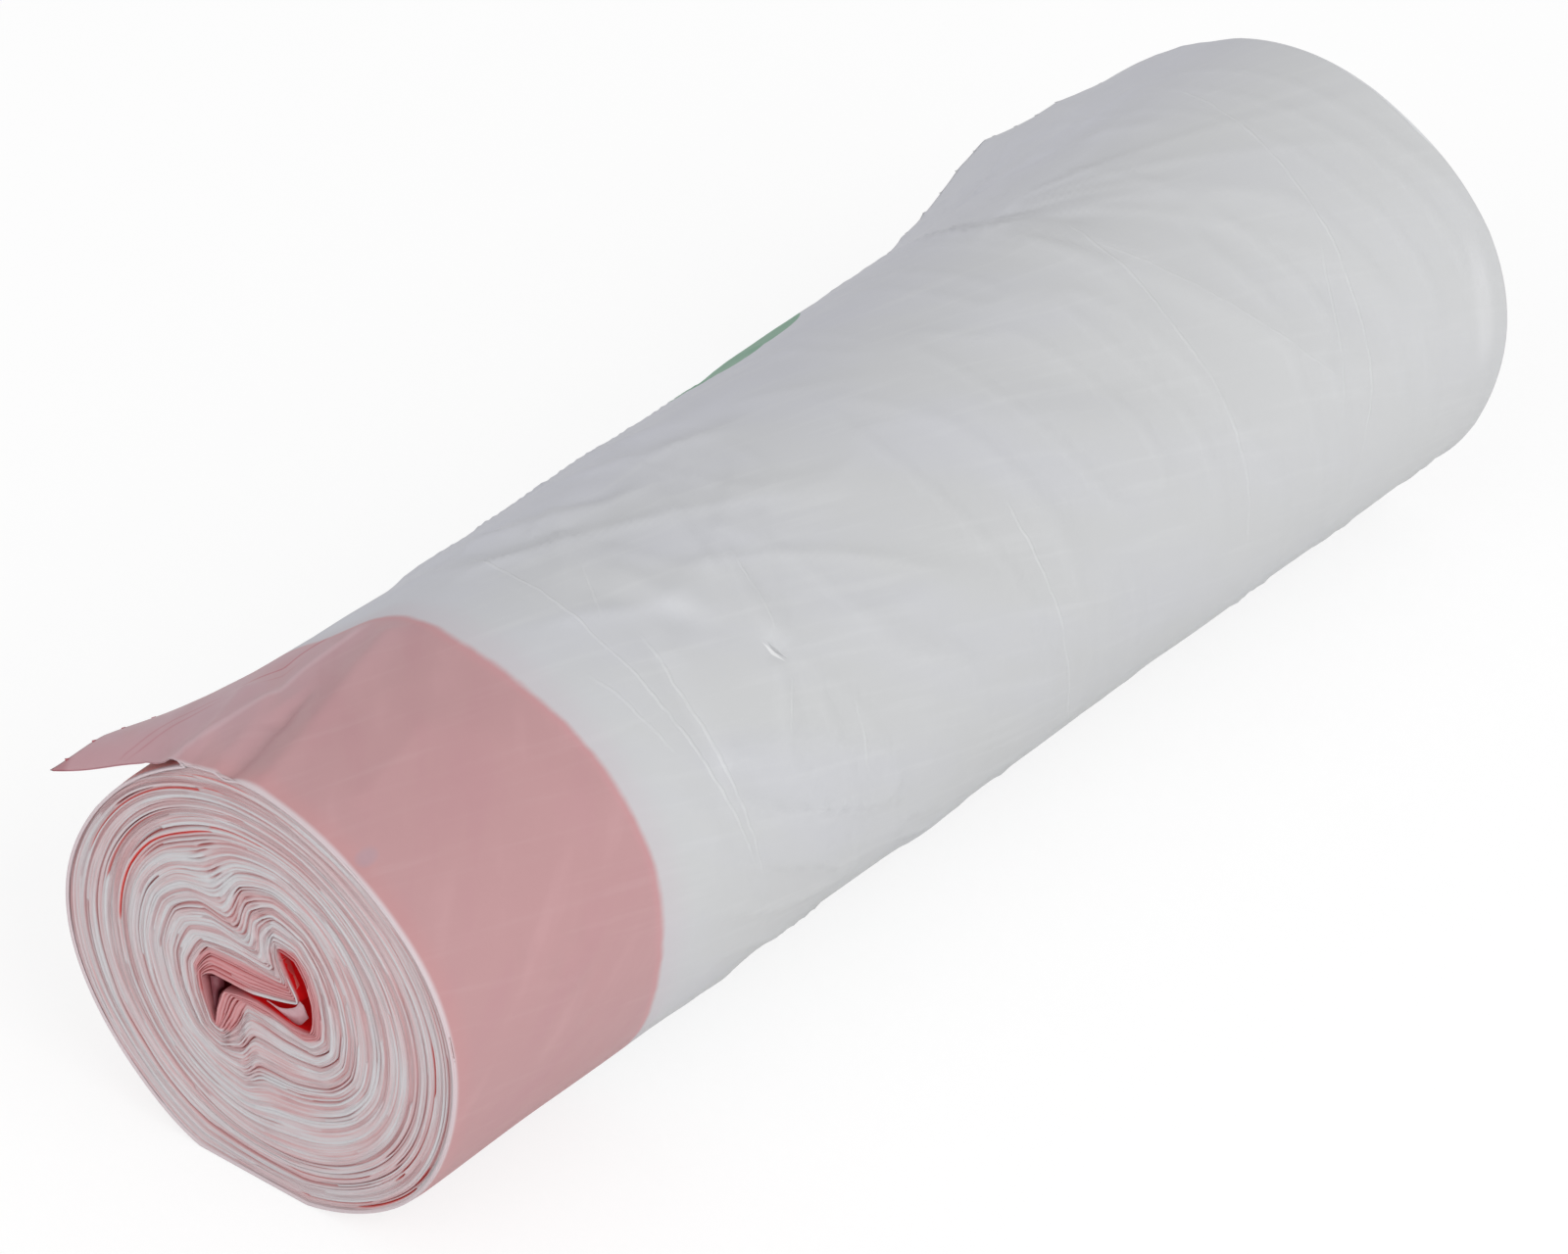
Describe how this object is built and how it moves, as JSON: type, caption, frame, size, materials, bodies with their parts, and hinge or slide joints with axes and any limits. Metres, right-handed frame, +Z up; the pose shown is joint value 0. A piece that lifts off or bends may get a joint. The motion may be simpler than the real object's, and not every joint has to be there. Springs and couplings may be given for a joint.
{
  "type": "roll of cat litter bags",
  "caption": "Coreless roll of thin white film bags with a pink draw tape wound in at one end and the loose end of the web lifting off the back.",
  "frame": {"origin": "on the surface that the roll lies on, in the middle of the flat under the roll, half way along its length", "axes": "+Y along the roll from its taped end to its plain end, +Z up, +X to the right seen from the taped end"},
  "size_m": [0.0758, 0.231, 0.0708],
  "materials": {
    "white_film": "satin",
    "pink_tape": "satin"
  },
  "bodies": {
    "root": {"film_roll": "white_film", "draw_tape": "pink_tape"}
  },
  "joints": []
}
